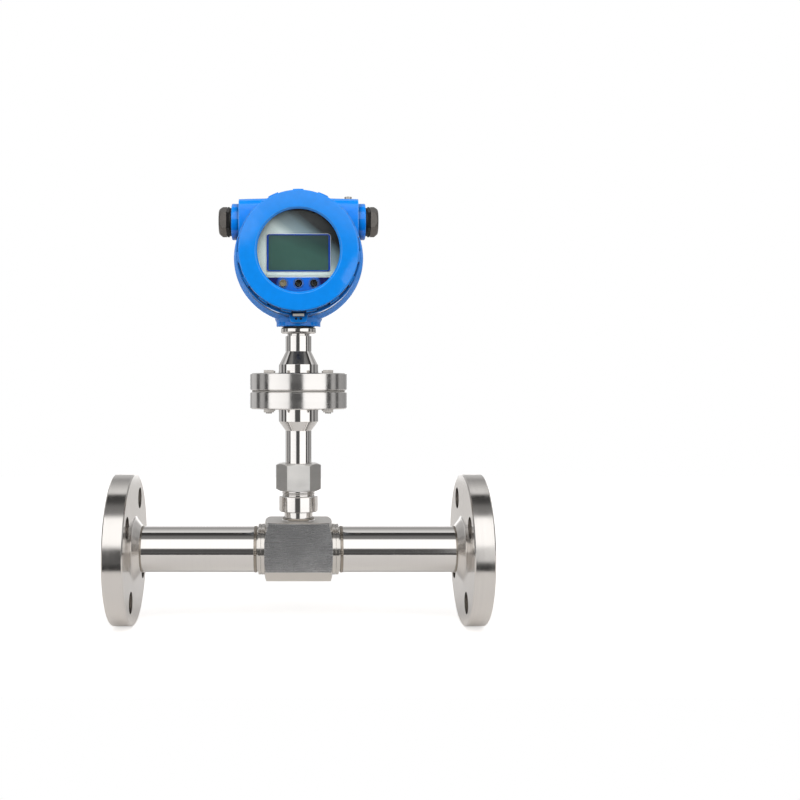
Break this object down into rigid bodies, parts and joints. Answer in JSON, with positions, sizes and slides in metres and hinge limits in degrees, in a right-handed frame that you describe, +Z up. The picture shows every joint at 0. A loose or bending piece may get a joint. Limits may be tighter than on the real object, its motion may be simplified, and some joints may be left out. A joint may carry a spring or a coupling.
{
  "type": "thermal mass flow meter",
  "caption": "In-line thermal mass flow meter: flanged pipe run, probe through a machined block, bolted stem and a round screw-capped head with a display behind glass.",
  "frame": {"origin": "centre of the inlet flange's bolting face, on the pipe axis; the raised face stands 1.6 mm proud of it towards -X", "axes": "+X along the flow to the outlet flange, +Z up the stem to the head, -Y towards the display"},
  "size_m": [0.3812, 0.155, 0.4425],
  "materials": {
    "steel_polished": "polished, turned",
    "steel_satin": "fine turned",
    "steel_brushed": "brushed",
    "steel_fastener": "bright",
    "blue_paint": "gloss powder coat on cast aluminium",
    "gland_metal": "dark plated metal",
    "black_rubber": "matte",
    "gasket_sheet": "pressed fibre and rubber sheet",
    "window_glass": "clear",
    "faceplate": "silver satin",
    "lcd_frame": "dark blue",
    "lcd_glass": "grey-green",
    "key_label": "printed blue film",
    "key_black": "black",
    "key_tan": "tan",
    "circuit_board": "green solder mask",
    "potted_plastic": "black",
    "cable_jacket": "grey"
  },
  "bodies": {
    "union_nut": {"union_nut": "steel_satin"},
    "gland_nut_left": {"gland_nut_left": "gland_metal"},
    "gland_nut_right": {"gland_nut_right": "gland_metal"},
    "front_cover": {"front_cover": "blue_paint", "front_cover_oring": "black_rubber", "window_seal": "black_rubber", "window_glass": "window_glass", "glass_retaining_ring": "potted_plastic"},
    "rear_cover": {"rear_cover": "blue_paint", "rear_cover_oring": "black_rubber"},
    "button_left": {"button_left": "key_tan"},
    "button_middle": {"button_middle": "key_black"},
    "button_right": {"button_right": "key_black"},
    "pipe_and_stem": {"inlet_flange": "steel_polished", "outlet_flange": "steel_polished", "inlet_pipe": "steel_polished", "outlet_pipe": "steel_polished", "body_block": "steel_brushed", "stem_socket": "steel_polished", "ferrule": "steel_satin", "lower_neck": "steel_polished", "lower_sensor_flange": "steel_satin", "flange_gasket": "gasket_sheet", "upper_sensor_flange": "steel_satin", "upper_neck": "steel_polished", "swivel_lock_ring": "steel_polished", "neck_retaining_ring": "steel_fastener", "flange_bolts": "steel_fastener", "flange_nuts": "steel_fastener", "probe_body": "steel_satin", "heated_sensor": "steel_satin", "reference_sensor": "steel_satin", "probe_guard": "steel_satin", "sensor_cable": "cable_jacket", "sensor_feedthrough": "potted_plastic"},
    "head": {"housing": "blue_paint", "display_faceplate": "faceplate", "lcd_frame": "lcd_frame", "lcd_panel": "lcd_glass", "key_label": "key_label", "key_switches": "key_black", "display_board": "circuit_board", "display_spacers": "steel_fastener", "module_standoffs": "steel_fastener", "electronics_module": "potted_plastic", "terminal_block": "potted_plastic", "terminal_screws": "steel_fastener", "cover_lock_screws": "steel_fastener", "cover_lock_clamps": "steel_fastener", "neck_set_screw": "steel_fastener", "earth_screw": "steel_fastener", "inner_earth_screw": "steel_fastener", "gland_washer_left": "black_rubber", "gland_body_left": "gland_metal", "gland_seal_left": "black_rubber", "gland_washer_right": "black_rubber", "gland_body_right": "gland_metal", "gland_seal_right": "black_rubber"}
  },
  "joints": [
    {"name": "head_swivel", "type": "hinge", "parent": "pipe_and_stem", "child": "head", "pos_m": [0.189, 0, 0.299], "axis": [0, 0, 1], "range_deg": [-175, 175]},
    {"name": "union_nut_turn", "type": "hinge", "parent": "pipe_and_stem", "child": "union_nut", "pos_m": [0.189, 0, 0.0747], "axis": [0, 0, 1], "continuous": true},
    {"name": "front_cover_off", "type": "slide", "parent": "head", "child": "front_cover", "axis": [0, -1, 0], "range_m": [0, 0.045]},
    {"name": "rear_cover_off", "type": "slide", "parent": "head", "child": "rear_cover", "axis": [0, 1, 0], "range_m": [0, 0.045]},
    {"name": "gland_nut_left_turn", "type": "hinge", "parent": "head", "child": "gland_nut_left", "pos_m": [0.1116, 0, 0.3376], "axis": [-1, 0, 0], "continuous": true},
    {"name": "gland_nut_right_turn", "type": "hinge", "parent": "head", "child": "gland_nut_right", "pos_m": [0.2664, 0, 0.3376], "axis": [1, 0, 0], "continuous": true},
    {"name": "button_left_press", "type": "slide", "parent": "head", "child": "button_left", "axis": [0, 1, 0], "range_m": [0, 0.0008], "stiffness_N_per_m": 800},
    {"name": "button_middle_press", "type": "slide", "parent": "head", "child": "button_middle", "axis": [0, 1, 0], "range_m": [0, 0.0008], "stiffness_N_per_m": 800},
    {"name": "button_right_press", "type": "slide", "parent": "head", "child": "button_right", "axis": [0, 1, 0], "range_m": [0, 0.0008], "stiffness_N_per_m": 800}
  ]
}
